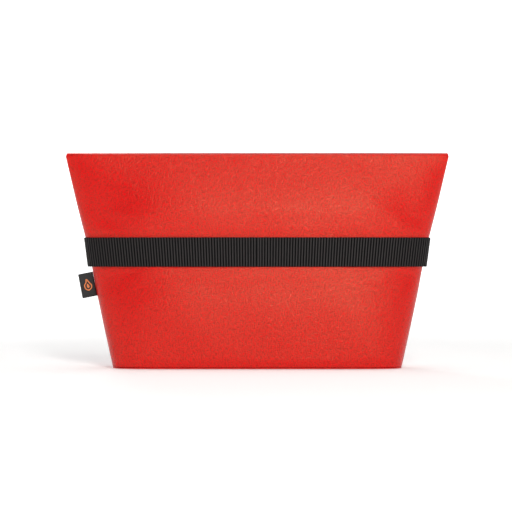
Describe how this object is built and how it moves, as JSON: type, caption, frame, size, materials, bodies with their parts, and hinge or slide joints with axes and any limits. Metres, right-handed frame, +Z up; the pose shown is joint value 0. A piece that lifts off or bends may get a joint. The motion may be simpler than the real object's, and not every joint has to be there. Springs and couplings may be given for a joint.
{
  "type": "fire blanket in a soft pouch",
  "caption": "Folded glass-cloth fire blanket in a tapered soft red pouch that folds over its mouth, with a webbing strap that closes round it.",
  "frame": {"origin": "middle of the underside of the pouch's base, on the surface it stands on", "axes": "+X to the right along the front, +Y from the plain front to the back with the flap and the strap's closure, +Z up"},
  "size_m": [0.3974, 0.0754, 0.222],
  "materials": {
    "red_fabric": "satin coated weave",
    "black_webbing": "matte ribbed webbing",
    "pull_tape": "matte woven tape",
    "binding": "matte woven tape",
    "hook_tape": "matte hooks",
    "loop_tape": "fuzzy loops",
    "label": "satin ribbon",
    "glass_cloth": "plain glass-fibre weave",
    "thread": "polyester thread"
  },
  "bodies": {
    "pouch": {"front_panel": "red_fabric", "back_panel": "red_fabric", "base_panel": "red_fabric", "base_seam_binding": "binding", "left_seam_binding": "binding", "right_seam_binding": "binding", "mouth_binding": "binding", "pouch_loop_strip": "loop_tape", "strap_band": "black_webbing", "band_loop_patch": "loop_tape", "strap_anchor_stitch": "thread", "folded_blanket": "glass_cloth", "pull_tape_left": "pull_tape", "pull_tape_right": "pull_tape"},
    "flap": {"closing_flap": "red_fabric", "flap_binding": "binding", "flap_hook_strip": "hook_tape"},
    "strap_tail": {"strap_tail": "black_webbing", "tail_hook_patch": "hook_tape", "tail_end_fold": "black_webbing"},
    "label": {"side_label": "label"},
    "pull_tab_left": {"pull_tab_left": "pull_tape"},
    "pull_tab_right": {"pull_tab_right": "pull_tape"}
  },
  "joints": [
    {"name": "flap_fold", "type": "hinge", "parent": "pouch", "child": "flap", "pos_m": [0, 0.001, 0.22205], "axis": [1, 0, 0], "range_deg": [0, 155]},
    {"name": "strap_tail_peel", "type": "hinge", "parent": "pouch", "child": "strap_tail", "pos_m": [0.15153, 0.02316, 0.119], "axis": [-0.1116, 0.0185, -0.9936], "range_deg": [0, 150]},
    {"name": "label_flex", "type": "hinge", "parent": "pouch", "child": "label", "pos_m": [-0.16907, 0, 0.08632], "axis": [0.1944, 0, -0.9809], "range_deg": [-75, 75]},
    {"name": "pull_tab_left_swing", "type": "hinge", "parent": "pouch", "child": "pull_tab_left", "pos_m": [-0.095, 0.02896, 0.16785], "axis": [0.9986, 0.0522, 0], "range_deg": [0, 100]},
    {"name": "pull_tab_right_swing", "type": "hinge", "parent": "pouch", "child": "pull_tab_right", "pos_m": [0.095, 0.02896, 0.16785], "axis": [0.9986, -0.0522, 0], "range_deg": [0, 100]}
  ]
}
